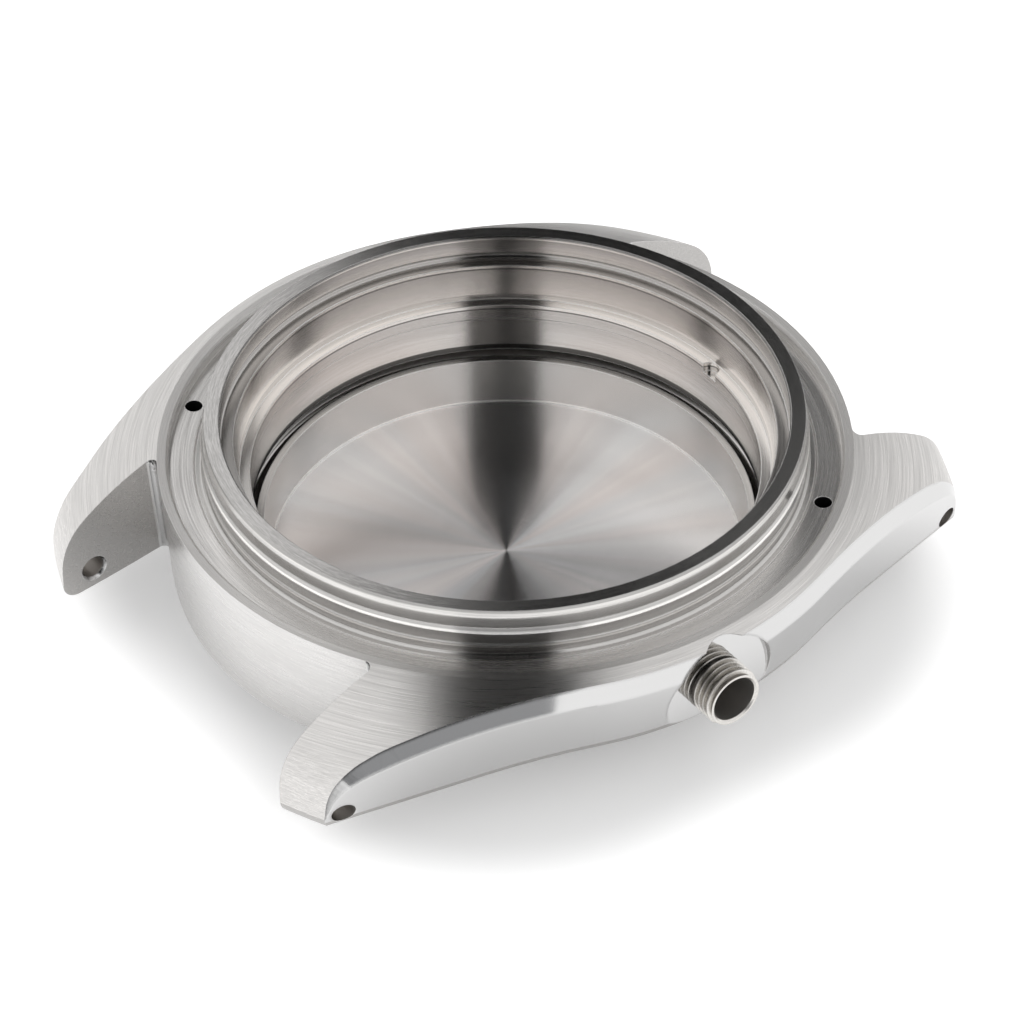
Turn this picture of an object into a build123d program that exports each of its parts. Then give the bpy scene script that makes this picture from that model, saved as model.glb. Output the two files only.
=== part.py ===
"""Empty steel watch case: mid-case with four lugs, crown tube, screwed case back and its gasket.

Row frame, in millimetres: +X is 3 o'clock, where the crown tube is, +Y is 12 o'clock and +Z is
the crystal side. The origin is on the case's axis, at the flat foot of the case back.
"""
from build123d import *
import os

from math import hypot, sqrt

# Heights of the two main pieces
back_height = 2.1            # case back that stands below the mid-case
case_height = 9.5            # mid-case, from the seat of its back to the rim of the neck
seat_gap = 0.03              # left under the mid-case by the screwed back

# Neck: carries the bezel outside and the crystal inside
neck_radius = 17.05
neck_wall = 0.99
neck_depth = 3.07            # rim to the ledge that the bezel sits on
neck_bevel = 0.10            # width of the bevel round the rim
neck_bevel_depth = 0.47
snap_ridge = 0.15            # how far the bezel's snap ridge stands out
snap_ridge_top = 1.18        # rim to the slope of the ridge
snap_ridge_depth = 0.34
neck_step = 0.06
neck_step_height = 0.75      # above the ledge
neck_foot = 0.20             # how far the foot of the neck stands out
neck_foot_height = 0.12      # above the ledge

# Bezel seat: a ledge round the neck, inside a shallow raised ring
bezel_ledge_inset = 0.60     # neck to the fine groove in the ledge
groove_width = 0.10
groove_depth = 0.08
bezel_ledge_width = 1.41
ring_rise = 0.60             # ledge to the flat top of the ring
ring_bevel = 0.14
ring_width = 0.50
pin_hole_radius = 0.50
pin_hole_depth = 1.2
pin_hole_angle = 40.4
pin_hole_count = 2

# Bore, from the rim down: crystal, throat, dial, movement, thread of the case back
rim_bevel = 0.08
crystal_depth = 1.56
crystal_relief = 0.14
crystal_relief_height = 0.37
crystal_ledge_width = 0.71
throat_taper = 0.28
dial_depth = 3.82
dial_seat_width = 0.60
notch_radius = 0.58
notch_depth = 0.60
movement_seat_height = 0.99  # dial seat down to the step in the movement's bore
movement_step = 0.07
thread_height = 2.35         # seat of the back up to the movement's bore
thread_shoulder = 0.58       # movement's bore to the root of the internal thread
thread_relief = 0.15
thread_relief_height = 0.30
thread_lead_in = 0.30

# Lugs and flanks
lug_gap = 22.0               # strap width that the case takes
lug_root_fillet = 0.4
gap_wall_taper = 0.5         # how far the wall between the lugs leans in
lug_length = 3.3             # from the ring to the lug tips, beside the strap
lug_tip_width = 3.62
lug_bend_run = 4.4           # from the ring out to the bend of the lug's top
lug_bend_drop = 2.42         # and down to it
lug_top_arc = 14.2
lug_end_radius = 32.9        # curve of the lug ends, seen from above
lug_tip_round = 4.0          # from the lug's top over to its end
lug_foot_drop = 0.95         # seat of the back to the underside of the lug tips
flank_wall = 1.41            # ring to the flank at 3 o'clock
flank_turn_inset = 1.41      # the flank's middle to where it turns into the long lug curve
flank_turn_y = 7.87
flank_end_run = 0.5          # how far past the lug tip that curve is drawn
flank_draft = 11.3           # degrees that the flanks lean in towards the wrist
bevel_width = 0.80           # polished bevel across the top, at its widest
bevel_drop = 1.20            # the same bevel down the flank, at its deepest
bevel_overrun = 0.4
crease_cosine = 0.95         # faces that turn less than this are one smooth surface
flank_facing = 0.7           # flank faces point to the side by more than this
flank_foot_slack = 0.6       # how far the flank's foot lies inside the ring
# Along the bevel from 3 o'clock to the foot of a lug: way, part of the width, part of the drop
middle_shares = (0, 0.58, 1)
bevel_shares = (
    (0.10, 0.63, 0.92), (0.20, 0.69, 0.83), (0.30, 0.74, 0.75), (0.40, 0.79, 0.68), (0.50, 0.84, 0.60),
    (0.60, 0.88, 0.54), (0.70, 0.93, 0.45), (0.78, 0.95, 0.34), (0.83, 0.90, 0.22), (0.87, 0.75, 0.13),
    (0.91, 0.45, 0.07), (0.94, 0.20, 0.03), (0.97, 0.05, 0.01), (0.995, 0, 0),
)
belly_fillet = 0.95
underside_rise = 1.40        # seat of the back up to the underside at 3 and 9 o'clock
underside_flat = 6.0
underside_turn_y = 13.0
underside_turn_rise = 0.78
underside_end_run = 4.5      # how far past the lug tip the underside's curve is drawn
back_boss_margin = 0.8       # how far the boss stands out past the case back
back_boss_bevel = 0.2

# Spring-bar holes, drilled right through the lugs
spring_bar_radius = 0.67
spring_bar_bevel = 0.16
spring_bar_inset = 2.1       # lug tip back to the hole
spring_bar_height = 0.84     # above the seat of the back

# Crown tube and the recess round it
tube_height = 3.43           # tube axis above the seat of the back
tube_radius = 1.74           # over the thread, turned plain
tube_shank_radius = 1.55     # the part inside the case
tube_bore_radius = 1.37
tube_bore_depth = 3.1
stem_radius = 0.85
tube_stand_out = 0.49        # flank to the mouth of the tube
tube_seat_depth = 2.2        # floor of the recess to the tube's seat
tube_bevel = 0.12
tube_clearance = 0.01
stem_hole_radius = 1.0
recess_radius = 3.5
recess_depth = 1.21          # flank to the flat floor of the recess

# Case back: a cup with a screwed ring
thread_play = 0.33           # root of the internal thread to the root of the external one
cup_wall = 1.2
cup_taper = 0.29
floor_thickness = 1.3
ring_top_gap = 0.28          # under the movement's bore
ring_top_width = 0.42
ring_lead_in = 0.50
flange_width = 1.55          # past the thread
flange_edge = 0.75
foot_inset = 2.3
foot_edge = 0.15
wrench_notch_count = 6
wrench_notch_width = 2.6
wrench_notch_length = 1.5

# Gasket: an O-ring in a groove of the flange
gasket_offset = 0.8          # thread to the middle of the cord
gasket_cord_radius = 0.30
gasket_clearance = 0.03

# One overrun for all cutting tools
overrun = 3.0

# Heights worked out from the sizes above
seat_z = back_height
rim_z = seat_z + case_height
ledge_z = rim_z - neck_depth
ring_z = ledge_z + ring_rise
dial_z = rim_z - dial_depth
movement_z = seat_z + thread_height
tube_z = seat_z + tube_height
spring_bar_z = seat_z + spring_bar_height
flange_z = seat_z - seat_gap
floor_z = floor_thickness
ring_top_z = movement_z - ring_top_gap

# Radii worked out from the sizes above
crystal_radius = neck_radius - neck_wall
throat_radius = crystal_radius - crystal_ledge_width
dial_radius = throat_radius - throat_taper
movement_radius = dial_radius - dial_seat_width
thread_major_radius = movement_radius + thread_shoulder   # the thread's root, bored plain
thread_minor_radius = thread_major_radius - thread_play   # the back's thread root, turned plain
cup_radius = thread_minor_radius - cup_wall
flange_radius = thread_major_radius + flange_width
foot_radius = flange_radius - foot_inset
gasket_radius = thread_major_radius + gasket_offset
back_boss_radius = flange_radius + back_boss_margin
neck_foot_radius = neck_radius + neck_foot
ledge_radius = neck_radius + bezel_ledge_inset + bezel_ledge_width
ring_inner_radius = ledge_radius + ring_bevel
ring_radius = ring_inner_radius + ring_width
pin_circle_radius = neck_radius + bezel_ledge_inset + bezel_ledge_width / 2

# Places of the lugs, flanks and tube, worked out from the sizes above
lug_tip_y = ring_radius + lug_length
lug_end_shift = sqrt(lug_end_radius ** 2 - (lug_gap / 2) ** 2) - lug_tip_y
lug_bend_radius = ring_radius + lug_bend_run
flank_reach = ring_radius + flank_wall
flank_turn_x = flank_reach - flank_turn_inset
flank_end_x = lug_gap / 2 + lug_tip_width
flank_end_y = lug_tip_y + flank_end_run
lug_reach = hypot(flank_end_x, flank_end_y)
underside_end_y = lug_tip_y + underside_end_run
spring_bar_y = lug_tip_y - spring_bar_inset
recess_x = flank_reach - recess_depth
tube_seat_x = recess_x - tube_seat_depth
tube_reach = flank_reach + tube_stand_out


def turned(outline):
    """A solid of revolution about the case's axis, from an outline of (radius, height) points."""
    with BuildPart() as solid:
        with BuildSketch(Plane.XZ):
            with BuildLine():
                Polyline(*outline, close=True)
            make_face()
        revolve(axis=Axis.Z)
    return solid.part


def case_blank():
    """The mid-case before it is bored: neck, bezel seat, ring and the turned tops of the lugs."""
    bend = (lug_bend_radius, ring_z - lug_bend_drop)
    foot = seat_z - lug_foot_drop - overrun
    groove_outside = neck_radius + bezel_ledge_inset
    ridge_z = rim_z - snap_ridge_top
    neck = [
        (0, foot),
        (0, rim_z),
        (neck_radius - neck_bevel, rim_z),
        (neck_radius, rim_z - neck_bevel_depth),
        (neck_radius, ridge_z),
        (neck_radius + snap_ridge, ridge_z - snap_ridge_depth),
        (neck_radius, ridge_z - snap_ridge_depth - snap_ridge),
        (neck_radius, ledge_z + neck_step_height),
        (neck_radius + neck_step, ledge_z + neck_step_height - neck_step),
        (neck_radius + neck_step, ledge_z + neck_foot_height),
        (neck_foot_radius, ledge_z),
        (groove_outside - groove_width, ledge_z),
        (groove_outside - groove_width / 2, ledge_z - groove_depth),
        (groove_outside, ledge_z),
        (ledge_radius, ledge_z),
        (ledge_radius, ring_z - ring_bevel),
        (ring_inner_radius, ring_z),
        (ring_radius, ring_z),
    ]
    with BuildPart() as blank:
        with BuildSketch(Plane.XZ):
            with BuildLine():
                Polyline(*neck)
                top = RadiusArc(neck[-1], bend, lug_top_arc)
                slope = Line(bend, (top @ 1) + (top % 1) * ((lug_reach - lug_bend_radius) / (top % 1).X))
                Polyline(slope @ 1, (lug_reach, foot), neck[0])
            make_face()
        revolve(axis=Axis.Z)
    size = 2 * (lug_reach + overrun)
    ends = Cylinder(lug_end_radius, size)
    for side in (1, -1):
        cut = Pos(0, -side * lug_end_shift, 0) * ends
        cut = cut + Pos(0, -side * size / 2, 0) * Box(2 * size, size, size)
        blank = blank.part & cut if side > 0 else blank & cut
    rounded = []
    for edge in blank.edges():
        middle = edge @ 0.5
        if abs(middle.Y) > ring_radius and edge.length > ring_radius and middle.Z > seat_z:
            rounded.append(edge)
    return blank.fillet(lug_tip_round, rounded)


def flank_prism():
    """What the flanks leave of the blank: a prism with the case's outline, leaning in downwards."""
    turn = (flank_turn_x, flank_turn_y)
    end = Vector(flank_end_x, flank_end_y)
    top_z = rim_z + overrun
    with BuildPart() as prism:
        with BuildSketch(Plane.XY.offset(ring_z)) as outline:
            with BuildLine():
                middle = ThreePointArc((turn[0], -turn[1]), (flank_reach, 0), turn)
                lug = TangentArc(turn, end, tangent=middle % 1)
                far = end + (lug % 1) * overrun
                tail = Line(end, far)
                mirror(lug, about=Plane.XZ)
                mirror(tail, about=Plane.XZ)
                mirror(about=Plane.YZ)
                Line(far, (-far.X, far.Y))
                Line((far.X, -far.Y), (-far.X, -far.Y))
            make_face()
        extrude(amount=-(ring_z - seat_z + lug_foot_drop), taper=flank_draft)
        extrude(outline.sketch, amount=top_z - ring_z)
    return prism.part


def underside_tool():
    """Hollows the underside from lug tip to lug tip, except for the boss of the case back."""
    flat_z = seat_z + underside_rise
    turn_z = seat_z + underside_turn_rise
    foot_z = seat_z - lug_foot_drop
    low_z = foot_z - overrun
    half_width = flank_reach + overrun
    tip_y = underside_end_y + overrun
    with BuildPart() as tool:
        with BuildSketch(Plane.YZ):
            with BuildLine():
                flat = Line((-underside_flat, flat_z), (underside_flat, flat_z))
                knee = TangentArc((underside_flat, flat_z), (underside_turn_y, turn_z), tangent=flat % 1)
                lug = TangentArc((underside_turn_y, turn_z), (underside_end_y, foot_z), tangent=knee % 1)
                mirror(knee, about=Plane.YZ)
                mirror(lug, about=Plane.YZ)
                Polyline((underside_end_y, foot_z), (tip_y, foot_z), (tip_y, low_z), (-tip_y, low_z),
                         (-tip_y, foot_z), (-underside_end_y, foot_z))
            make_face()
        extrude(amount=half_width, both=True)
    return tool.part


def back_boss():
    """The round boss under the mid-case that takes the screwed back."""
    top_z = movement_z
    with BuildPart() as boss:
        with Locations((0, 0, seat_z)):
            Cylinder(back_boss_radius, top_z - seat_z, align=(Align.CENTER, Align.CENTER, Align.MIN))
        chamfer(boss.edges().group_by(Axis.Z)[0], back_boss_bevel)
    return boss.part


def gap_tool():
    """Clears the strap's space between each pair of lugs, down to the round wall of the body."""
    low_z = seat_z - lug_foot_drop - overrun
    height = rim_z + overrun - low_z
    length = lug_reach + overrun
    wall = turned([
        (0, low_z),
        (ring_radius - gap_wall_taper, low_z),
        (ring_radius - gap_wall_taper, seat_z),
        (ring_radius, ring_z),
        (ring_radius, rim_z + overrun + overrun),
        (0, rim_z + overrun + overrun),
    ])
    with BuildPart() as tool:
        for side in (1, -1):
            with Locations((0, side * length / 2, low_z)):
                Box(lug_gap, length, height, align=(Align.CENTER, Align.CENTER, Align.MIN))
    space = tool.part - wall
    roots = []
    for edge in space.edges():
        middle = edge @ 0.5
        at_wall = hypot(middle.X, middle.Y) < ring_radius + lug_root_fillet
        upright = edge.length > ring_z - seat_z and abs((edge % 0.5).Z) > flank_facing
        if at_wall and upright and abs(middle.X) > lug_gap / 2 - lug_root_fillet:
            roots.append(edge)
    return space.fillet(lug_root_fillet, roots)


def bore_tool():
    """Everything turned out of the middle: crystal seat, throat, dial seat, movement and thread."""
    relief_z = rim_z - crystal_depth
    step_z = dial_z - movement_seat_height
    relief_radius = thread_major_radius + thread_relief
    return turned([
        (0, rim_z + overrun),
        (crystal_radius + rim_bevel, rim_z + overrun),
        (crystal_radius + rim_bevel, rim_z),
        (crystal_radius, rim_z - rim_bevel),
        (crystal_radius, relief_z + crystal_relief_height),
        (crystal_radius + crystal_relief, relief_z + crystal_relief_height - crystal_relief),
        (crystal_radius + crystal_relief, relief_z + crystal_relief),
        (crystal_radius, relief_z),
        (throat_radius, relief_z),
        (dial_radius, dial_z),
        (movement_radius, dial_z),
        (movement_radius, step_z),
        (movement_radius + movement_step, step_z - movement_step),
        (movement_radius + movement_step, movement_z),
        (relief_radius, movement_z),
        (relief_radius, movement_z - thread_relief_height),
        (thread_major_radius, movement_z - thread_relief_height - thread_relief),
        (thread_major_radius, seat_z + thread_lead_in),
        (thread_major_radius + thread_lead_in, seat_z),
        (thread_major_radius + thread_lead_in, seat_z - overrun),
        (0, seat_z - overrun),
    ])


def right_half(body):
    """The half of the body on the side of 3 o'clock."""
    size = 2 * (lug_reach + overrun)
    return body & Pos(size / 2, 0, 0) * Box(size, size, size)


def flank_edges(half):
    """The edges round the flank and lug tips: those of the top, and those of the underside."""
    crest, foot = [], []
    faces = half.faces()
    for edge in half.edges():
        middle = edge @ 0.5
        reach = hypot(middle.X, middle.Y)
        if middle.X < lug_gap / 2 + lug_root_fillet or reach < ring_radius - flank_foot_slack:
            continue
        outwards = Vector(middle.X, middle.Y).normalized()
        sides = [face for face in faces if any(other.is_same(edge) for other in face.edges())]
        first, second = [face.normal_at(middle) for face in sides]
        if first.dot(second) > crease_cosine:
            continue
        if min(first.Z, second.Z) < -flank_facing:
            if max(first.dot(outwards), second.dot(outwards)) > flank_facing:
                foot.append(edge)
        elif max(first.X, second.X) > flank_facing:
            crest.append(edge)
    return crest, foot


def bevel_tool(half, crest):
    """A wedge that takes off the edge between the top and the flank, fading out at the lug tips."""
    path = Wire(crest)
    if (path @ 0).Y > 0:
        path = Wire([edge.reversed() for edge in crest])
    flank, top = [], []
    for face in half.faces():
        on_crest = any(other.is_same(edge) for edge in crest for other in face.edges())
        if on_crest:
            upright = face.normal_at(face.center()).X > flank_facing
            (flank if upright else top).append(face)
    there = list(bevel_shares)
    back = [(-way, across, down) for way, across, down in reversed(there)]
    sections = []
    for way, across, down in back + [middle_shares] + there:
        share = (1 + way) / 2
        point = path @ share
        along = path % share
        flank_normal = min(flank, key=lambda face: face.distance_to(point)).normal_at(point)
        top_normal = min(top, key=lambda face: face.distance_to(point)).normal_at(point)
        inwards = top_normal.cross(along)
        inwards = inwards * (-1 if inwards.dot(flank_normal) > 0 else 1)
        downwards = flank_normal.cross(along)
        downwards = downwards * (-1 if downwards.dot(top_normal) > 0 else 1)
        width = bevel_width * across
        drop = bevel_drop * down
        slope = (inwards * (width + bevel_overrun) - downwards * (drop + bevel_overrun)).normalized()
        upper = point + inwards * width + slope * bevel_overrun
        lower = point + downwards * drop - slope * bevel_overrun
        outer = point + (flank_normal + top_normal).normalized() * bevel_width
        sections.append(Wire.make_polygon([upper, lower, outer]))
    return Solid.make_loft(sections)


def mid_case():
    """The body of the case, with its lugs, seats, holes and the recess for the crown."""
    half = right_half((case_blank() & flank_prism()) - underside_tool() - gap_tool())
    crest, foot = flank_edges(half)
    half = half.fillet(belly_fillet, foot) - bevel_tool(half, crest)
    body = half + half.mirror(Plane.YZ) + back_boss()
    below = Pos(0, 0, seat_z) * Cylinder(
        back_boss_radius, overrun, align=(Align.CENTER, Align.CENTER, Align.MAX))
    body = body - below - bore_tool()
    notch = Pos(0, movement_radius, dial_z - notch_depth) * Cylinder(
        notch_radius, notch_depth + overrun, align=(Align.CENTER, Align.CENTER, Align.MIN))
    body = body - notch
    pin_hole = Pos(0, 0, ledge_z - pin_hole_depth) * Cylinder(
        pin_hole_radius, neck_depth, align=(Align.CENTER, Align.CENTER, Align.MIN))
    body = body - PolarLocations(pin_circle_radius, pin_hole_count, pin_hole_angle) * pin_hole
    along_x = Rotation(0, 90, 0)
    bar_hole = along_x * Cylinder(spring_bar_radius, 2 * lug_reach)
    mouth = spring_bar_radius + spring_bar_bevel
    for side in (1, -1):
        bar_hole = bar_hole + Pos(side * (lug_gap + spring_bar_bevel) / 2, 0, 0) * along_x * Cone(
            mouth if side > 0 else spring_bar_radius, spring_bar_radius if side > 0 else mouth,
            spring_bar_bevel)
    for side in (1, -1):
        body = body - Pos(0, side * spring_bar_y, spring_bar_z) * bar_hole
    outwards = (Align.CENTER, Align.CENTER, Align.MIN)
    recess = Pos(recess_x, 0, tube_z) * along_x * Cylinder(recess_radius, lug_reach, align=outwards)
    tube_hole = Pos(tube_seat_x, 0, tube_z) * along_x * Cylinder(
        tube_shank_radius + tube_clearance, lug_reach, align=outwards)
    stem_hole = Pos(0, 0, tube_z) * along_x * Cylinder(stem_hole_radius, lug_reach, align=outwards)
    return body - recess - tube_hole - stem_hole


def crown_tube():
    """The threaded tube, its thinner shank pressed into the case, bored in two steps."""
    length = tube_reach - tube_seat_x - tube_clearance
    shank_length = recess_x - tube_seat_x
    outwards = (Align.CENTER, Align.CENTER, Align.MIN)
    with BuildPart() as tube:
        with Locations((0, 0, shank_length)):
            Cylinder(tube_radius, length - shank_length, align=outwards)
        chamfer(tube.edges().group_by(Axis.Z)[-1], tube_bevel)
        Cylinder(tube_shank_radius, length, align=outwards)
        Cylinder(stem_radius, length, align=outwards, mode=Mode.SUBTRACT)
        with Locations((0, 0, length - tube_bore_depth)):
            Cylinder(tube_bore_radius, tube_bore_depth, align=outwards, mode=Mode.SUBTRACT)
    return Pos(tube_reach - length, 0, tube_z) * Rotation(0, 90, 0) * tube.part


def wrench_notches():
    """The notches round the case back that its key turns."""
    with BuildPart() as notches:
        with PolarLocations(foot_radius, wrench_notch_count):
            Box(2 * wrench_notch_length, wrench_notch_width, 2 * flange_edge)
    return notches.part


def case_back():
    """The screwed back: a cup with a turned floor, a threaded ring and a notched foot."""
    groove_half = gasket_cord_radius + gasket_clearance
    groove_z = flange_z - 2 * groove_half
    ring_edge_z = ring_top_z - ring_lead_in
    cup = turned([
        (0, floor_z),
        (cup_radius, floor_z),
        (cup_radius + cup_taper, ring_top_z),
        (cup_radius + cup_taper + ring_top_width, ring_top_z),
        (thread_minor_radius, ring_edge_z),
        (thread_minor_radius, flange_z),
        (gasket_radius - groove_half, flange_z),
        (gasket_radius - groove_half, groove_z),
        (gasket_radius + groove_half, groove_z),
        (gasket_radius + groove_half, flange_z),
        (flange_radius, flange_z),
        (flange_radius, flange_z - flange_edge),
        (foot_radius + foot_edge, foot_edge),
        (foot_radius, 0),
        (0, 0),
    ])
    return cup - wrench_notches()


def case_back_gasket():
    """The O-ring, resting in the groove of the case back."""
    middle_z = flange_z - gasket_cord_radius - gasket_clearance
    return Pos(0, 0, middle_z) * Torus(gasket_radius, gasket_cord_radius)


pieces = {
    "mid_case": mid_case,
    "crown_tube": crown_tube,
    "case_back": case_back,
    "case_back_gasket": case_back_gasket,
}

os.makedirs("parts", exist_ok=True)
for node, make in pieces.items():
    solid = make()
    solid.label = node
    export_step(solid, f"parts/{node}.step")
    print(f"{node}: {len(solid.solids())} solid, {solid.volume:.1f} mm3")
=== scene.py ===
"""Looks of the empty watch case: finishes, threads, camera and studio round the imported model.

The frame is the CAD's: metres, +X at 3 o'clock, +Y at 12 o'clock, +Z on the crystal side, and the
origin on the case's axis at the flat foot of the case back.
"""

import logging
from collections.abc import Callable
from dataclasses import dataclass
from enum import Enum
from math import atan2, cos, hypot, pi, radians, sin

import bpy
from mathutils import Matrix, Vector

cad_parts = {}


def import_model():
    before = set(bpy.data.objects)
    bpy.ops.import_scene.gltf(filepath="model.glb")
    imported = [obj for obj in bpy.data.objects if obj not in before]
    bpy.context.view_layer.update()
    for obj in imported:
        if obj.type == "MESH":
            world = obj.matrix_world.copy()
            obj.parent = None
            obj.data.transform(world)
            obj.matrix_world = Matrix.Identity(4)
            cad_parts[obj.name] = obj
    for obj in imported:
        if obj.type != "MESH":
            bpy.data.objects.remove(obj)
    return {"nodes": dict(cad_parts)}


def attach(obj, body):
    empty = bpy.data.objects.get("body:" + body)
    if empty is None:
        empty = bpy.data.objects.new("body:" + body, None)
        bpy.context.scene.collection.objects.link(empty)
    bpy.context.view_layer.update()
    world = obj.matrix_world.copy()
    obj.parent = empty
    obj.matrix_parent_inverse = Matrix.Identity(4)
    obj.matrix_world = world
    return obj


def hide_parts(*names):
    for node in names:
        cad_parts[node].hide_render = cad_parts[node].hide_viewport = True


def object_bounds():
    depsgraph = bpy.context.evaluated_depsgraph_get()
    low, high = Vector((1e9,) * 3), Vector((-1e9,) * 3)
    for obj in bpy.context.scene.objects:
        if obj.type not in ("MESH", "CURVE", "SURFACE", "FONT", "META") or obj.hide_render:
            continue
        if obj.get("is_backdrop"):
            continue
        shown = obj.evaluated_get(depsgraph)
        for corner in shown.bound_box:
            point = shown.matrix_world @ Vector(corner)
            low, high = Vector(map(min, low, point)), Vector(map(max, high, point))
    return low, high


MM = 0.001
FULL_TURN = 2 * pi
IN_DEGREES = 180 / pi
TINY = 1e-9
MERGE_DISTANCE = 1e-6
SMOOTH_ANGLE = radians(25)
CAMERA_AZIMUTH = 54.82
ACROSS_TANGENT = 0.25
# near-white colour of the painted highlight on broken edges
EDGE_HIGHLIGHT_COLOUR = (0.97, 0.96, 0.95)
EDGE_ROUGHNESS = 0.5
BLACK = (0.0, 0.0, 0.0)
LOG = logging.getLogger("watch_case")
Point = tuple[float, float, float]


class Body(Enum):
    """The CAD bodies that the pieces ride on."""

    CASE = "case_body"
    GASKET = "gasket_body"
    BACK = "back_body"


class Slot(Enum):
    """The record's material slots."""

    CASE = "case_steel"
    TUBE = "tube_steel"
    BACK = "back_steel"
    GASKET = "gasket_rubber"


class Grain(Enum):
    """How the tool marks of a finish run."""

    CIRCULAR = "circular"
    ALONG_Z = "along_z"
    ROUND_TUBE = "round_tube"
    NONE = "none"


@dataclass(frozen=True)
class Steel:
    """A finish of bare steel, with the painted light and shade that some finishes carry in their colour.

    Marks are the fine lines that a tool leaves. Edge values say how far each edge is broken and how
    much painted highlight its colour gets there. The sector value is how much painted light varies the
    colour round the axis, the dark line value how black a painted reflection makes the upper edges that
    face 6 o'clock, and the height table holds pairs of a height in millimetres and the factor of painted
    light and shade on the colour there.
    """

    name: str
    colour: Point = (0.66, 0.645, 0.63)
    roughness: float = 0.3
    anisotropy: float = 0.0
    grain: Grain = Grain.NONE
    marks_per_mm: float = 9.0
    mark_length_mm: float = 3.0
    mark_colour: float = 0.0
    mark_roughness: float = 0.0
    mark_height_mm: float = 0.0
    crown: float = 0.0
    edge_mm: float = 0.05
    # share of the painted highlight colour on broken edges
    edge_highlight: float = 0.85
    # painted light: how much lighter, darker, warmer and cooler the colour gets from sector to sector
    painted_sector_light: float = 0.0
    # painted reflection: how black a painted dark line makes the upper edges that face 6 o'clock
    painted_dark_reflection: float = 0.0
    # pairs of height in mm and factor of painted light and shade on the colour
    painted_light_by_height: tuple[tuple[float, float], ...] = ()


BRUSHED = Steel(
    "brushed_top", roughness=0.30, anisotropy=1.0, grain=Grain.CIRCULAR, marks_per_mm=20.0,
    mark_length_mm=6.0, mark_colour=0.13, mark_roughness=0.04, edge_mm=0.06, edge_highlight=0.0)
TURNED = Steel(
    "turned_neck", colour=(0.60, 0.587, 0.572), roughness=0.2, anisotropy=0.95, grain=Grain.CIRCULAR,
    marks_per_mm=16.0, mark_length_mm=10.0, mark_colour=0.1, mark_roughness=0.04, edge_mm=0.1,
    # painted light and shade by height: bright and dark lines at the neck's steps
    edge_highlight=0.2, painted_light_by_height=(
        (8.40, 0.95), (9.02, 0.9), (9.07, 1.6), (9.14, 1.6), (9.20, 0.85), (9.80, 0.8), (10.03, 0.9),
        (10.08, 1.5), (10.20, 1.5), (10.26, 0.8), (10.95, 0.9), (11.10, 1.12), (11.38, 1.12),
        (11.44, 0.6)))
BORED = Steel(
    "bored_wall", colour=(0.66, 0.635, 0.612), roughness=0.18, anisotropy=0.95, grain=Grain.CIRCULAR,
    marks_per_mm=9.0, mark_length_mm=14.0, mark_colour=0.05, mark_roughness=0.03, edge_mm=0.1,
    # painted light and shade by height: a dark band at the foot, bright and dark lines at the steps
    painted_light_by_height=(
        (4.40, 0.4), (4.55, 0.2), (4.80, 0.2), (4.84, 1.2), (5.50, 1.18), (6.50, 1.0), (7.46, 1.02),
        (7.49, 0.2), (7.54, 0.2), (7.58, 1.5), (7.76, 1.5), (7.80, 0.95), (8.10, 0.95), (8.16, 1.35),
        (8.60, 1.25), (9.20, 1.08), (9.76, 0.92), (9.78, 0.3), (9.84, 0.3), (9.87, 1.5), (9.97, 1.5),
        (10.02, 0.75), (10.14, 0.5), (10.22, 1.1), (10.36, 0.3), (10.44, 0.3), (10.48, 1.4), (10.70, 1.0),
        (11.36, 0.68), (11.40, 1.5), (11.46, 1.4), (11.49, 0.2)))
FLOOR = Steel(
    "turned_floor", colour=(0.775, 0.757, 0.742), roughness=0.24, anisotropy=1.0, grain=Grain.CIRCULAR,
    marks_per_mm=12.0, mark_length_mm=16.0, mark_colour=0.01, mark_roughness=0.012, edge_mm=0.2,
    # the turned floor's colour carries painted light in sectors
    edge_highlight=1.0, painted_sector_light=0.05)
CUP = Steel(
    "cup_wall", colour=(0.70, 0.69, 0.675), roughness=0.25, anisotropy=0.9, grain=Grain.CIRCULAR,
    marks_per_mm=14.0, mark_length_mm=5.0, mark_colour=0.025, mark_roughness=0.02, edge_mm=0.1,
    # painted highlight: a bright line at the corner with the floor
    edge_highlight=1.0, painted_light_by_height=((1.30, 1.45), (1.40, 1.45), (1.44, 0.95), (3.60, 1.0)))
# painted shade: the thread's colour is far darker than bare steel, for the shade in its narrow grooves
THREAD = Steel(
    "cut_thread", colour=(0.16, 0.15, 0.14), roughness=0.3, grain=Grain.CIRCULAR, marks_per_mm=9.0,
    mark_length_mm=20.0, mark_colour=0.2, mark_roughness=0.05, edge_mm=0.03)
CREST = Steel(
    "thread_crest", colour=(0.66, 0.64, 0.62), roughness=0.3, edge_mm=0.03)
RIM = Steel(
    "lapped_rim", colour=(0.49, 0.479, 0.468), roughness=0.17, anisotropy=0.5, grain=Grain.CIRCULAR,
    marks_per_mm=24.0, mark_length_mm=1.1, mark_colour=0.16, mark_roughness=0.05, crown=0.065,
    edge_mm=0.05, edge_highlight=0.2)
LEDGE = Steel(
    "turned_ledge", roughness=0.24, anisotropy=0.9, grain=Grain.CIRCULAR, marks_per_mm=14.0,
    mark_length_mm=9.0, mark_colour=0.18, mark_roughness=0.06, mark_height_mm=0.001, crown=0.05,
    edge_mm=0.08)
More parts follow.
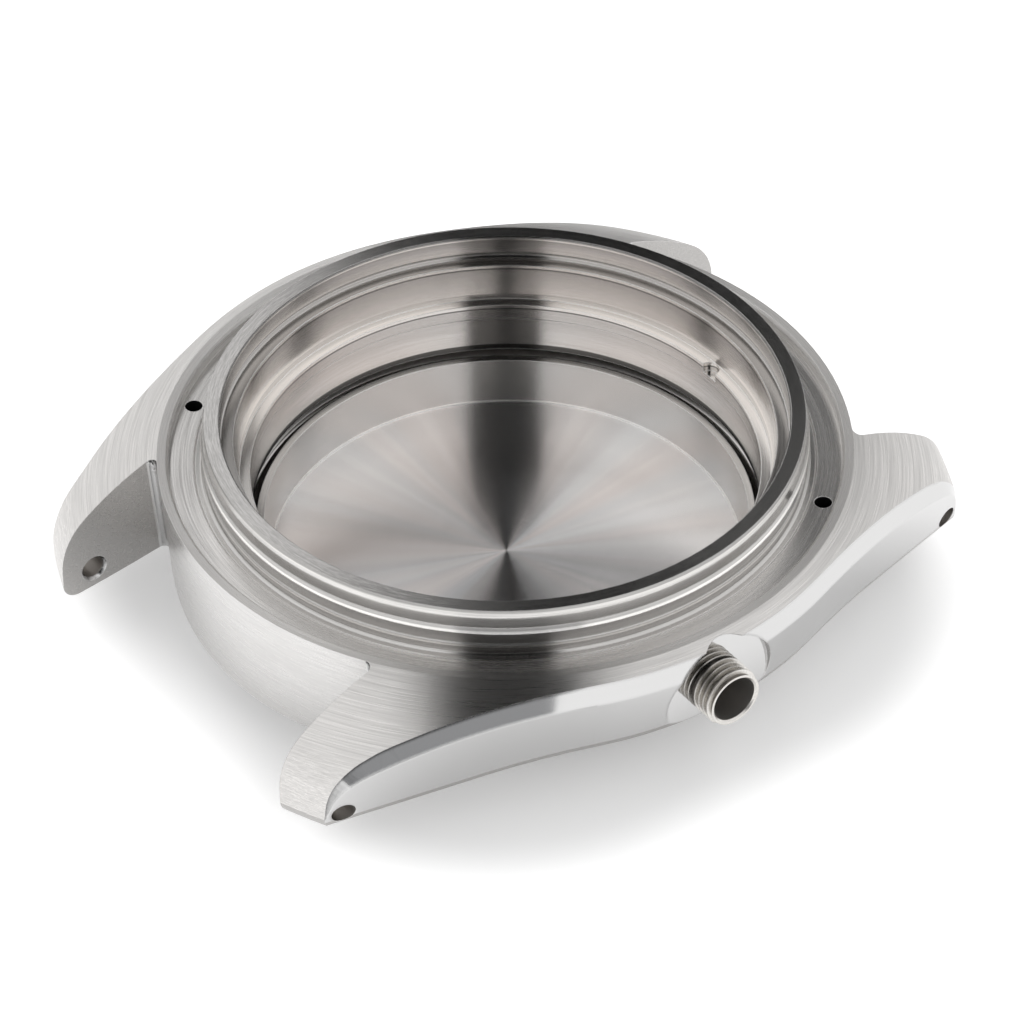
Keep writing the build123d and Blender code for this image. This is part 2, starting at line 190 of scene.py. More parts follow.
# the polished bevels carry a painted dark reflection along their upper edges that face 6 o'clock
POLISHED = Steel(
    "polished_flank", colour=(0.59, 0.587, 0.584), roughness=0.06, edge_mm=0.28, edge_highlight=0.0,
    painted_dark_reflection=1.0)
SATIN = Steel(
    "satin_lug_wall", colour=(0.43, 0.42, 0.41), roughness=0.3, grain=Grain.ALONG_Z, marks_per_mm=9.0,
    mark_length_mm=0.8, mark_colour=0.05, mark_roughness=0.05)
GAP_WALL = Steel(
    "satin_gap_wall", colour=(0.66, 0.65, 0.64), roughness=0.3, grain=Grain.CIRCULAR, marks_per_mm=9.0,
    mark_length_mm=3.0, mark_colour=0.05, mark_roughness=0.05)
# painted shade: a colour darker than bare steel for the shade inside drilled holes
DRILLED = Steel("drilled_hole", colour=(0.5, 0.48, 0.46), roughness=0.4)
# painted shade: near-black colour for the shade inside the blind pin holes
BLIND_HOLE = Steel("blind_pin_hole", colour=(0.05, 0.05, 0.05), roughness=0.6)
TUBE_STEEL = Steel(
    "tube_thread", colour=(0.66, 0.64, 0.61), roughness=0.3, grain=Grain.ROUND_TUBE, marks_per_mm=9.0,
    mark_length_mm=1.0, mark_colour=0.08, mark_roughness=0.06, edge_mm=0.02, edge_highlight=0.0)
# painted shade: a dark colour for the shade in the tube's thread grooves
TUBE_GROOVE = Steel("tube_groove", colour=(0.2, 0.185, 0.17), roughness=0.3, edge_highlight=0.0)
# painted shade: a colour darker than bare steel for the shade inside the tube's bore
TUBE_BORE = Steel("tube_bore", colour=(0.4, 0.385, 0.37), roughness=0.5, edge_highlight=0.0)


class Tree:
    """Places nodes in a node tree and joins them, from left to right."""

    def __init__(self, tree: bpy.types.NodeTree) -> None:
        """Starts an empty tree.

        Args:
            tree: the tree of a material, a world or a group.
        """
        self.tree = tree
        self.tree.nodes.clear()
        self.column = 0

    def node(self, kind: str, **settings: object) -> bpy.types.Node:
        """Adds a node.

        Args:
            kind: its Blender type.
            settings: its properties by name.

        Returns:
            The node.
        """
        made = self.tree.nodes.new(kind)
        made.location = (self.column * 180, 0)
        self.column += 1
        for name, value in settings.items():
            setattr(made, name, value)
        return made

    def join(self, source: bpy.types.NodeSocket, target: bpy.types.NodeSocket) -> None:
        """Links two sockets.

        Args:
            source: an output.
            target: an input.
        """
        self.tree.links.new(source, target)

    def feed(self, socket: bpy.types.NodeSocket, value: object) -> None:
        """Gives an input its value.

        Args:
            socket: the input.
            value: a number, a tuple or another node's output.
        """
        if isinstance(value, bpy.types.NodeSocket):
            self.join(value, socket)
        else:
            socket.default_value = value

    def math(self, operation: str, *values: object, clamp: bool = False) -> bpy.types.NodeSocket:
        """Adds a Math node.

        Args:
            operation: its operation.
            values: its inputs in order.
            clamp: whether its result stays from 0 to 1.

        Returns:
            Its output.
        """
        made = self.node("ShaderNodeMath", operation=operation, use_clamp=clamp)
        for socket, value in zip(made.inputs, values):
            self.feed(socket, value)
        return made.outputs[0]

    def vector(self, operation: str, *values: object) -> bpy.types.NodeSocket:
        """Adds a Vector Math node.

        Args:
            operation: its operation.
            values: its inputs in order.

        Returns:
            Its vector, or its number where the operation is a dot product or a length.
        """
        made = self.node("ShaderNodeVectorMath", operation=operation)
        for socket, value in zip(made.inputs, values):
            self.feed(socket, value)
        return made.outputs["Value" if operation in ("DOT_PRODUCT", "LENGTH") else "Vector"]

    def smooth(self, value: object, low: object, high: object) -> bpy.types.NodeSocket:
        """Adds a soft step.

        Args:
            value: what is measured.
            low: the value that gives 0.
            high: the value that gives 1.

        Returns:
            The step's output.
        """
        made = self.node("ShaderNodeMapRange", interpolation_type="SMOOTHSTEP")
        self.feed(made.inputs["Value"], value)
        self.feed(made.inputs["From Min"], low)
        self.feed(made.inputs["From Max"], high)
        return made.outputs["Result"]

    def mix(self, share: object, first: object, second: object) -> bpy.types.NodeSocket:
        """Mixes two colours.

        Args:
            share: the second one's share.
            first: a colour.
            second: another colour.

        Returns:
            The mixed colour.
        """
        made = self.node("ShaderNodeMix", data_type="RGBA")
        self.feed(made.inputs["Factor"], share)
        for name, value in (("A", first), ("B", second)):
            socket = next(s for s in made.inputs if s.name == name and s.type == "RGBA")
            self.feed(socket, (*value, 1) if isinstance(value, tuple) and len(value) == 3 else value)
        return next(s for s in made.outputs if s.type == "RGBA")


class Marks:
    """The node group of tool marks that every steel finish uses."""

    NAME = "tool_marks"
    SCALES = (1.0, 2.7)
    SOFT = (0.3, 0.7)
    AXIS_GUARD = 1e-6

    @classmethod
    def group(cls) -> bpy.types.NodeTree:
        """Builds the group once.

        Returns:
            The group: fine streaks that follow circles round an axis, from 0 to 1.
        """
        if cls.NAME in bpy.data.node_groups:
            return bpy.data.node_groups[cls.NAME]
        group = bpy.data.node_groups.new(cls.NAME, "ShaderNodeTree")
        sockets = group.interface
        sockets.new_socket("Place", in_out="INPUT", socket_type="NodeSocketVector")
        sockets.new_socket("Across", in_out="INPUT", socket_type="NodeSocketFloat")
        sockets.new_socket("Along", in_out="INPUT", socket_type="NodeSocketFloat")
        sockets.new_socket("Marks", in_out="OUTPUT", socket_type="NodeSocketFloat")
        tree = Tree(group)
        start = tree.node("NodeGroupInput")
        place = tree.node("ShaderNodeSeparateXYZ")
        tree.join(start.outputs["Place"], place.inputs[0])
        x, y, z = place.outputs
        squares = tree.math("ADD", tree.math("MULTIPLY", x, x), tree.math("MULTIPLY", y, y))
        radius = tree.math("SQRT", squares)
        safe = tree.math("MAXIMUM", radius, cls.AXIS_GUARD)
        along = start.outputs["Along"]
        across = start.outputs["Across"]
        way = tree.node("ShaderNodeCombineXYZ")
        tree.join(tree.math("MULTIPLY", radius, across), way.inputs[0])
        tree.join(tree.math("MULTIPLY", tree.math("DIVIDE", x, safe), along), way.inputs[1])
        tree.join(tree.math("MULTIPLY", tree.math("DIVIDE", y, safe), along), way.inputs[2])
        layers = []
        for scale in cls.SCALES:
            noise = tree.node("ShaderNodeTexNoise", noise_dimensions="4D")
            noise.inputs["Scale"].default_value = scale
            noise.inputs["Detail"].default_value = 1.0
            tree.join(way.outputs[0], noise.inputs["Vector"])
            tree.join(tree.math("MULTIPLY", z, across), noise.inputs["W"])
            layers.append(noise.outputs["Fac"])
        total = tree.math("MULTIPLY", tree.math("ADD", *layers), 0.5)
        end = tree.node("NodeGroupOutput")
        tree.join(tree.smooth(total, *cls.SOFT), end.inputs["Marks"])
        return group


class Edges:
    """The node group of broken edges that every steel finish uses."""

    NAME = "broken_edge"
    SAMPLES = 4
    LIKENESS = (0.995, 0.85)
    # LIFT and TO_SIX pick the upper edges that face 6 o'clock, where a painted dark reflection goes
    LIFT = (0.0005, 0.008)
    TO_SIX = (0.33, 0.36)

    @classmethod
    def group(cls) -> bpy.types.NodeTree:
        """Builds the group once.

        Returns:
            The group: the normal over a small round at each edge, a mask of that round for the
            painted edge highlight, and a mask of the upper edges that are turned to 6 o'clock for the
            painted dark reflection.
        """
        if cls.NAME in bpy.data.node_groups:
            return bpy.data.node_groups[cls.NAME]
        group = bpy.data.node_groups.new(cls.NAME, "ShaderNodeTree")
        sockets = group.interface
        sockets.new_socket("Radius", in_out="INPUT", socket_type="NodeSocketFloat")
        sockets.new_socket("Normal", in_out="OUTPUT", socket_type="NodeSocketVector")
        sockets.new_socket("Edge", in_out="OUTPUT", socket_type="NodeSocketFloat")
        sockets.new_socket("Line", in_out="OUTPUT", socket_type="NodeSocketFloat")
        tree = Tree(group)
        start = tree.node("NodeGroupInput")
        rounded = tree.node("ShaderNodeBevel", samples=cls.SAMPLES)
        tree.join(start.outputs["Radius"], rounded.inputs["Radius"])
        plain = tree.node("ShaderNodeNewGeometry").outputs["Normal"]
        alike = tree.vector("DOT_PRODUCT", rounded.outputs["Normal"], plain)
        end = tree.node("NodeGroupOutput")
        tree.join(rounded.outputs["Normal"], end.inputs["Normal"])
        tree.join(tree.smooth(alike, *cls.LIKENESS), end.inputs["Edge"])
        # mask of the painted dark reflection: edges whose round leans up, on faces turned to 6 o'clock
        lean = tree.vector("SUBTRACT", rounded.outputs["Normal"], plain)
        lift = tree.vector("DOT_PRODUCT", lean, (0, 0, 1))
        to_six = tree.vector("DOT_PRODUCT", plain, (0, -1, 0))
        line = tree.math("MULTIPLY", tree.smooth(lift, *cls.LIFT), tree.smooth(to_six, *cls.TO_SIX))
        tree.join(line, end.inputs["Line"])
        return group


class Finish:
    """Makes the material of a steel finish, centred on the axis that its tool marks follow."""

    MARK_CIRCLE_MM = 20.0
    BUMP_STRENGTH = 0.5
    RAMP_RANGE = 2.0
    SECTORS = ((2.2, 0.0), (5.5, 4.0))
    SECTOR_EDGE = (0.35, 0.65)
    WARM = (0.6, -0.2, -0.3)
    COOL = (-0.4, 0.0, 0.5)

    def __init__(self, steel: Steel, axis_height: float = 0.0) -> None:
        """Keeps the finish.

        Args:
            steel: its values.
            axis_height: height of the tube's axis, for marks that run round the tube.
        """
        self.steel = steel
        self.axis_height = axis_height

    def shared(self) -> bpy.types.Material:
        """Gives the material of this name, built once.

        Returns:
            The material.
        """
        return bpy.data.materials.get(self.steel.name) or self.material()

    def material(self) -> bpy.types.Material:
        """Builds the material.

        Returns:
            The material.
        """
        steel = self.steel
        made = bpy.data.materials.new(steel.name)
        made.use_nodes = True
        tree = Tree(made.node_tree)
        place = tree.node("ShaderNodeTexCoord").outputs["Object"]
        shader = tree.node("ShaderNodeBsdfPrincipled")
        shader.inputs["Metallic"].default_value = 1.0
        shader.inputs["Roughness"].default_value = steel.roughness
        shader.inputs["Anisotropic"].default_value = steel.anisotropy
        edges = tree.node("ShaderNodeGroup", node_tree=Edges.group())
        edges.inputs["Radius"].default_value = steel.edge_mm * MM
        normal = edges.outputs["Normal"]
        # painted light: sectors of lighter and darker, warmer and cooler colour round the axis
        colour = self.paint_sector_light(tree, place) if steel.painted_sector_light else steel.colour
        # painted light and shade: the colour gets lighter and darker by height, as bright and dark lines
        # at the turned steps
        if steel.painted_light_by_height:
            colour = self.paint_light_by_height(tree, place, colour)
        gloss = steel.roughness
        if steel.crown:
            normal = self.crowned(tree, place, normal)
        if steel.grain is not Grain.NONE:
            colour, gloss, normal = self.add_marks(tree, place, colour, normal)
        # painted reflection: a black line on the upper edges that face 6 o'clock
        if steel.painted_dark_reflection:
            line = tree.math("MULTIPLY", edges.outputs["Line"], steel.painted_dark_reflection)
            colour = tree.mix(line, colour, BLACK)
        # painted highlight: broken edges get a near-white colour as if they caught the light; the rougher
        # gloss and the rounded normal there are real
        share = tree.math("MULTIPLY", edges.outputs["Edge"], steel.edge_highlight)
        tree.join(tree.mix(share, colour, EDGE_HIGHLIGHT_COLOUR), shader.inputs["Base Color"])
        rougher = tree.math("MULTIPLY", share, tree.math("SUBTRACT", EDGE_ROUGHNESS, gloss))
        tree.join(tree.math("ADD", gloss, rougher), shader.inputs["Roughness"])
        tree.join(normal, shader.inputs["Normal"])
        if steel.anisotropy:
            self.add_tangent(tree, place, shader)
        end = tree.node("ShaderNodeOutputMaterial")
        tree.join(shader.outputs[0], end.inputs[0])
        return made

    def paint_sector_light(self, tree: Tree, place: bpy.types.NodeSocket) -> bpy.types.NodeSocket:
        """Paints light into the colour from sector to sector, as a painted reflection of the light that
        breaks on a turned floor.

        Args:
            tree: the material's tree.
            place: the Object coordinates.

        Returns:
            The colour.
        """
        steel = self.steel
        way = tree.vector("NORMALIZE", tree.vector("MULTIPLY", place, (1, 1, 0)))
        layers = []
        for scale, seed in self.SECTORS:
            noise = tree.node("ShaderNodeTexNoise", noise_dimensions="4D")
            noise.inputs["Scale"].default_value = scale
            noise.inputs["Detail"].default_value = 2.0
            noise.inputs["W"].default_value = seed
            tree.join(way, noise.inputs["Vector"])
            layers.append(noise.outputs["Fac"])
        warm = tuple(c * (1 + steel.painted_sector_light * tint) for c, tint in zip(steel.colour, self.WARM))
        cool = tuple(c * (1 + steel.painted_sector_light * tint) for c, tint in zip(steel.colour, self.COOL))
        tinted = tree.mix(tree.smooth(layers[0], *self.SECTOR_EDGE), warm, cool)
        dark = (1 - steel.painted_sector_light,) * 3
        light = (1 + steel.painted_sector_light,) * 3
        shade = tree.mix(tree.smooth(layers[1], *self.SECTOR_EDGE), dark, light)
        return tree.vector("MULTIPLY", tinted, shade)

    def paint_light_by_height(self, tree: Tree, place: bpy.types.NodeSocket, colour: object) -> bpy.types.NodeSocket:
        """Paints light and shade on a turned wall by its height: painted bright and dark lines at its
        steps and the painted light between them.

        Args:
            tree: the material's tree.
            place: the Object coordinates.
            colour: the steel's colour.

        Returns:
            The colour with the painted light and shade.
        """
        stops = self.steel.painted_light_by_height
        low, high = stops[0][0], stops[-1][0]
        height = tree.node("ShaderNodeSeparateXYZ")
        tree.join(place, height.inputs[0])
        share = tree.node("ShaderNodeMapRange")
        tree.join(height.outputs["Z"], share.inputs["Value"])
        share.inputs["From Min"].default_value = low * MM
        share.inputs["From Max"].default_value = high * MM
        ramp = tree.node("ShaderNodeValToRGB")
        tree.join(share.outputs[0], ramp.inputs[0])
        elements = ramp.color_ramp.elements
        for stop, _ in stops[1:-1]:
            elements.new((stop - low) / (high - low))
        for element, (_, shade) in zip(elements, stops):
            element.color = (*(shade / self.RAMP_RANGE,) * 3, 1)
        factor = tree.vector("MULTIPLY", ramp.outputs[0], (self.RAMP_RANGE,) * 3)
        return tree.vector("MULTIPLY", colour, factor)

    def crowned(self, tree: Tree, place: bpy.types.NodeSocket,
                normal: bpy.types.NodeSocket) -> bpy.types.NodeSocket:
        """Leans the surface outwards a little, as lapping leaves the edge of a ring.

        Args:
            tree: the material's tree.
            place: the Object coordinates.
            normal: the surface's normal.

        Returns:
            The leaning normal.
        """
        level = tree.vector("MULTIPLY", place, (1, 1, 0))
        lean = tree.node("ShaderNodeVectorMath", operation="SCALE")
        tree.join(tree.vector("NORMALIZE", level), lean.inputs[0])
        lean.inputs["Scale"].default_value = self.steel.crown
        world = tree.node("ShaderNodeVectorTransform", vector_type="VECTOR", convert_from="OBJECT",
                          convert_to="WORLD")
        tree.join(lean.outputs[0], world.inputs[0])
        return tree.vector("NORMALIZE", tree.vector("ADD", normal, world.outputs[0]))

    def add_marks(self, tree: Tree, place: bpy.types.NodeSocket, colour: object,
                  normal: bpy.types.NodeSocket) -> tuple[bpy.types.NodeSocket, ...]:
        """Lets the tool marks change colour, roughness and height.

        Args:
            tree: the material's tree.
            place: the Object coordinates.
            colour: the steel's colour.
            normal: the surface's normal.

        Returns:
            The colour, the roughness and the normal with the marks on them.
        """
        steel = self.steel
        turned = tree.node("ShaderNodeMapping")
        tree.join(place, turned.inputs["Vector"])
        if steel.grain is Grain.ROUND_TUBE:
            turned.inputs["Location"].default_value = (self.axis_height, 0, 0)
            turned.inputs["Rotation"].default_value = (0, radians(90), 0)
        marks = tree.node("ShaderNodeGroup", node_tree=Marks.group())
        tree.join(turned.outputs[0], marks.inputs["Place"])
        marks.inputs["Across"].default_value = steel.marks_per_mm / MM
        marks.inputs["Along"].default_value = self.MARK_CIRCLE_MM / steel.mark_length_mm
        value = marks.outputs["Marks"]
        low = (1 - steel.mark_colour,) * 3
        high = (1 + steel.mark_colour,) * 3
        shade = tree.mix(value, low, high)
        colour = tree.vector("MULTIPLY", colour, shade)
        spread = tree.node("ShaderNodeMapRange")
        tree.join(value, spread.inputs["Value"])
        spread.inputs["To Min"].default_value = steel.roughness + steel.mark_roughness
        spread.inputs["To Max"].default_value = steel.roughness - steel.mark_roughness
        gloss = spread.outputs[0]
        if not steel.mark_height_mm:
            return colour, gloss, normal
        bump = tree.node("ShaderNodeBump")
        tree.join(normal, bump.inputs["Normal"])
        bump.inputs["Strength"].default_value = self.BUMP_STRENGTH
        bump.inputs["Distance"].default_value = steel.mark_height_mm * MM
        tree.join(value, bump.inputs["Height"])
        return colour, gloss, bump.outputs[0]

    @staticmethod
    def add_tangent(tree: Tree, place: bpy.types.NodeSocket, shader: bpy.types.Node) -> None:
        """Spreads the gloss across the circles round the case's axis, as turning marks do.

        Args:
            tree: the material's tree.
            place: the Object coordinates.
            shader: the material's shader.
        """
        shader.inputs["Anisotropic Rotation"].default_value = ACROSS_TANGENT
        around = tree.vector("CROSS_PRODUCT", (0, 0, 1), place)
        world = tree.node("ShaderNodeVectorTransform", vector_type="VECTOR", convert_from="OBJECT",
                          convert_to="WORLD")
        tree.join(around, world.inputs[0])
        tree.join(tree.vector("NORMALIZE", world.outputs[0]), shader.inputs["Tangent"])


@dataclass
class Camera:
    """The photograph's camera, from the ellipses of the case's turned circles."""

    azimuth: float = CAMERA_AZIMUTH
    elevation: float = 40.436
    roll: float = -0.660
    neck_radius_mm: float = 17.05
    distance: float = 20.0
    shift_right: float = -0.03048
    shift_up: float = 0.33735
    focal_share: float = 6060.58 / 1028
    rim_height_mm: float = 11.6
    sensor_mm: float = 36.0
    clip: tuple[float, float] = (0.01, 20.0)

    def build(self) -> bpy.types.Object:
        """Adds the camera.

        Returns:
            The camera's object.
        """
        turn = Matrix.Rotation(radians(self.azimuth), 3, "Z")
        height = radians(self.elevation)
        back = Vector((0, -cos(height), sin(height)))
        right = Vector((1, 0, 0))
        up = back.cross(right)
        lean = radians(self.roll)
        right, up = cos(lean) * right + sin(lean) * up, cos(lean) * up - sin(lean) * right
        eye = self.distance * back - self.shift_right * right - self.shift_up * up
        place = turn @ eye * self.neck_radius_mm * MM + Vector((0, 0, self.rim_height_mm * MM))
        rotation = Matrix((turn @ right, turn @ up, turn @ back)).transposed()
        data = bpy.data.cameras.new("photo_camera")
        data.sensor_width = self.sensor_mm
        data.lens = self.focal_share * self.sensor_mm
        data.clip_start, data.clip_end = self.clip
        camera = bpy.data.objects.new("photo_camera", data)
        camera.matrix_world = Matrix.Translation(place) @ rotation.to_4x4()
        bpy.context.scene.collection.objects.link(camera)
        bpy.context.scene.camera = camera
        return camera


@dataclass(frozen=True)
class Panel:
    """A soft-edged area of the studio's sky, in degrees."""

    along: float
    half_along: float
    across: float
    half_across: float
    soft: float
    colour: Point


@dataclass
class Studio:
    """A pale floor with a painted shadow round the case, under a bright sky with soft-edged grey and dark
    panels.
    """

    camera_azimuth: float = CAMERA_AZIMUTH
    room_colour: Point = (1.08, 1.08, 1.08)
    floor_colour: Point = (0.72, 0.72, 0.72)
    floor_size: float = 6.0
    floor_roughness: float = 0.9
    # the floor's glow drops near the case: a painted shadow, its reach measured from a box round the axis
    painted_shadow_glow: float = 0.32
    glow_beyond_painted_shadow: float = 0.75
    painted_shadow_reach: tuple[float, float] = (0.0125, 0.019)
    painted_shadow_core: Point = (0.008, 0.006, 0.0)
    panels: tuple[Panel, ...] = (
        Panel(along=8, half_along=12, across=4, half_across=21, soft=0.6, colour=(0.43, 0.435, 0.445)),
        Panel(along=143, half_along=13, across=11, half_across=13, soft=4, colour=(0.2, 0.2, 0.2)),
        Panel(along=56, half_along=38, across=0, half_across=13, soft=0.6, colour=(0.01, 0.01, 0.01)),
        Panel(along=98, half_along=32, across=0, half_across=8, soft=0.9, colour=(0.01, 0.01, 0.01)),
        Panel(along=134, half_along=9, across=3, half_across=4.5, soft=1, colour=(0.02, 0.02, 0.02)),
        Panel(along=158, half_along=17, across=2, half_across=6.5, soft=1, colour=(0.01, 0.01, 0.01)),
    )

    def build(self) -> None:
        """Adds the floor and the sky."""
        self.floor()
        self.sky()
        view = bpy.context.scene.view_settings
        view.view_transform = "Standard"
        view.look = "None"

    def floor(self) -> None:
        """Adds the pale floor at the foot of the case back, glowing less near the case as a painted
        shadow.
        """
        bpy.ops.mesh.primitive_plane_add(size=self.floor_size, location=(0, 0, 0))
        floor = bpy.context.object
        floor.name = "studio_floor"
        made = bpy.data.materials.new("pale_floor")
        made.use_nodes = True
        tree = Tree(made.node_tree)
        shader = tree.node("ShaderNodeBsdfPrincipled")
        shader.inputs["Base Color"].default_value = (*self.floor_colour, 1)
        shader.inputs["Roughness"].default_value = self.floor_roughness
        shader.inputs["Specular IOR Level"].default_value = 0.0
        shader.inputs["Emission Strength"].default_value = 1.0
        place = tree.node("ShaderNodeTexCoord").outputs["Object"]
        # painted shadow: the glow drops from the far value to the near one close to a box round the
        # case's axis
        beyond = tree.vector("SUBTRACT", tree.vector("ABSOLUTE", place), self.painted_shadow_core)
        beyond = tree.vector("MAXIMUM", beyond, (0, 0, 0))
        away = tree.smooth(tree.vector("LENGTH", beyond), *self.painted_shadow_reach)
        glow_with_painted_shadow = tree.mix(away, (self.painted_shadow_glow,) * 3, (self.glow_beyond_painted_shadow,) * 3)
        tree.join(glow_with_painted_shadow, shader.inputs["Emission Color"])
        tree.join(shader.outputs[0], tree.node("ShaderNodeOutputMaterial").inputs[0])
        floor.data.materials.append(made)
        floor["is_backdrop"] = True

    def sky(self) -> None:
        """Paints the panels on the world, by direction."""
        world = bpy.data.worlds.new("studio_sky")
        bpy.context.scene.world = world
        world.use_nodes = True
        tree = Tree(world.node_tree)
        way = tree.vector("NORMALIZE", tree.node("ShaderNodeTexCoord").outputs["Generated"])
        turn = radians(self.camera_azimuth)
        to_camera = (sin(turn), -cos(turn), 0)
        to_right = (cos(turn), sin(turn), 0)
        near = tree.vector("DOT_PRODUCT", way, to_camera)
        side = tree.vector("DOT_PRODUCT", way, to_right)
        high = tree.vector("DOT_PRODUCT", way, (0, 0, 1))
        along = tree.math("MULTIPLY", tree.math("ARCTAN2", high, near), IN_DEGREES)
        across = tree.math("MULTIPLY", tree.math("ARCSINE", side), IN_DEGREES)
        colour = (*self.room_colour, 1)
        for panel in self.panels:
            masks = []
            for value, middle, half in (
                    (along, panel.along, panel.half_along), (across, panel.across, panel.half_across)):
                off = tree.math("ABSOLUTE", tree.math("SUBTRACT", value, middle))
                masks.append(tree.smooth(off, half + panel.soft, half - panel.soft))
            colour = tree.mix(tree.math("MULTIPLY", *masks), colour, panel.colour)
        light = tree.node("ShaderNodeBackground")
        tree.feed(light.inputs["Color"], colour)
        tree.join(light.outputs[0], tree.node("ShaderNodeOutputWorld").inputs[0])


class Island:
    """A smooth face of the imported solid: the triangles that share its vertices."""

    def __init__(self, mesh: bpy.types.Mesh, polygons: list[bpy.types.MeshPolygon]) -> None:
        """Measures the island, in millimetres.

        Args:
            mesh: the node's mesh.
            polygons: the island's triangles.
        """
        self.polygons = polygons
        area = sum(p.area for p in polygons) or TINY
        self.up = sum(p.normal.z * p.area for p in polygons) / area
        self.sideways = sum(abs(p.normal.x) * p.area for p in polygons) / area
        self.outwards = sum(self.radial(p) * p.area for p in polygons) / area
        points = [mesh.vertices[v].co / MM for p in polygons for v in p.vertices]
        reaches = [hypot(p.x, p.y) for p in points]
        self.reach = (min(reaches), max(reaches))
        self.x = (min(p.x for p in points), max(p.x for p in points))
        self.y = (min(p.y for p in points), max(p.y for p in points))
        self.z = (min(p.z for p in points), max(p.z for p in points))

    @staticmethod
    def radial(polygon: bpy.types.MeshPolygon) -> float:
        """Measures how much a triangle faces away from the case's axis.

        Args:
            polygon: the triangle.

        Returns:
            The outward part of its normal.
        """
        centre = polygon.center
        reach = hypot(centre.x, centre.y) or TINY
        return (polygon.normal.x * centre.x + polygon.normal.y * centre.y) / reach

    @classmethod
    def all_of(cls, mesh: bpy.types.Mesh) -> list["Island"]:
        """Finds every island of a mesh.

        Args:
            mesh: the node's mesh, whose vertices are shared only inside a smooth face.

        Returns:
            The islands.
        """
        parent = list(range(len(mesh.vertices)))

        def root(vertex: int) -> int:
            """Finds the vertex that stands for this one's island.

            Args:
                vertex: any vertex.

            Returns:
                The island's own vertex.
            """
            while parent[vertex] != vertex:
                parent[vertex] = parent[parent[vertex]]
                vertex = parent[vertex]
            return vertex

        for polygon in mesh.polygons:
            first = root(polygon.vertices[0])
            for vertex in polygon.vertices[1:]:
                parent[root(vertex)] = first
        groups: dict[int, list[bpy.types.MeshPolygon]] = {}
        for polygon in mesh.polygons:
            groups.setdefault(root(polygon.vertices[0]), []).append(polygon)
        return [cls(mesh, polygons) for polygons in groups.values()]


def dress_islands(node: bpy.types.Object, finishes: tuple[Steel, ...],
                  finish_of: Callable[[Island], Steel]) -> None:
    """Gives each smooth face of a CAD node its finish.

    Args:
        node: the CAD node.
        finishes: the finishes that it has.
        finish_of: chooses a face's finish.
    """
    mesh = node.data
    mesh.materials.clear()
    for steel in finishes:
        mesh.materials.append(Finish(steel).shared())
    for island in Island.all_of(mesh):
        index = finishes.index(finish_of(island))
        for polygon in island.polygons:
            polygon.material_index = index


@dataclass
class MidCase:
    """The mid-case: the CAD node with a finish on each of its surfaces, in millimetres."""

    bore_reach: float = 16.3
    neck_reach: float = 17.6
    ring_reach: float = 19.8
    lug_reach: float = 22.0
    lug_end_reach: float = 24.0
    pin_hole_reach: tuple[float, float] = (17.8, 18.9)
    stem_hole_x: float = 14.0
    stem_hole_reach: float = 20.0
    stem_hole_half: float = 2.1
    hole_size: float = 2.2
    lug_hole_size: tuple[float, float] = (1.7, 1.6)
    gap_half_width: float = 11.0
    ledge_height: float = 8.4
    rim_height: float = 11.55
    thread_top: float = 4.5
    step: float = 0.2
    touch: float = 0.05
    finishes: tuple[Steel, ...] = (
        BRUSHED, TURNED, BORED, THREAD, RIM, LEDGE, POLISHED, SATIN, GAP_WALL, DRILLED, BLIND_HOLE)

    def dress(self, node: bpy.types.Object) -> None:
        """Gives each surface of the node its finish.

        Args:
            node: the CAD node.
        """
        dress_islands(node, self.finishes, self.finish_of)

    def finish_of(self, face: Island) -> Steel:
        """Chooses the finish of a surface.

        Args:
            face: the surface.

        Returns:
            Its finish.
        """
        width, depth, height = (span[1] - span[0] for span in (face.x, face.y, face.z))
        small = width < self.hole_size and depth < self.hole_size
        near, far = self.pin_hole_reach
        if near < face.reach[0] and face.reach[1] < far and small and face.z[0] < self.ledge_height:
            return BLIND_HOLE
        if face.reach[1] < self.bore_reach:
            return THREAD if face.z[1] < self.thread_top else BORED
        in_stem_hole = face.x[0] > self.stem_hole_x and face.reach[1] < self.stem_hole_reach
        if in_stem_hole and abs(face.y[1]) < self.stem_hole_half:
            return DRILLED
        thin = depth < self.lug_hole_size[0] and height < self.lug_hole_size[1]
        if abs(face.outwards) < 0.1 and (small or thin) and face.reach[0] > self.lug_reach:
            return DRILLED
        if face.z[0] > self.rim_height and face.up > 0.9:
            return RIM
        if face.reach[1] < self.neck_reach and face.z[0] > self.ledge_height - self.step:
            return TURNED
        in_ring = face.reach[1] < self.ring_reach
        if in_ring and face.z[1] < self.ledge_height + self.step and face.up > 0.95:
            return LEDGE
        if in_ring and face.z[0] > self.ledge_height:
            return BRUSHED
        flat = width < self.touch
        if flat and abs(abs(face.x[0]) - self.gap_half_width) < self.touch or face.up < -0.5:
            return SATIN
        if in_ring:
            return GAP_WALL
        lug_end = face.reach[0] > self.lug_end_reach and face.sideways < 0.5
        return BRUSHED if face.up > 0.8 or lug_end else POLISHED


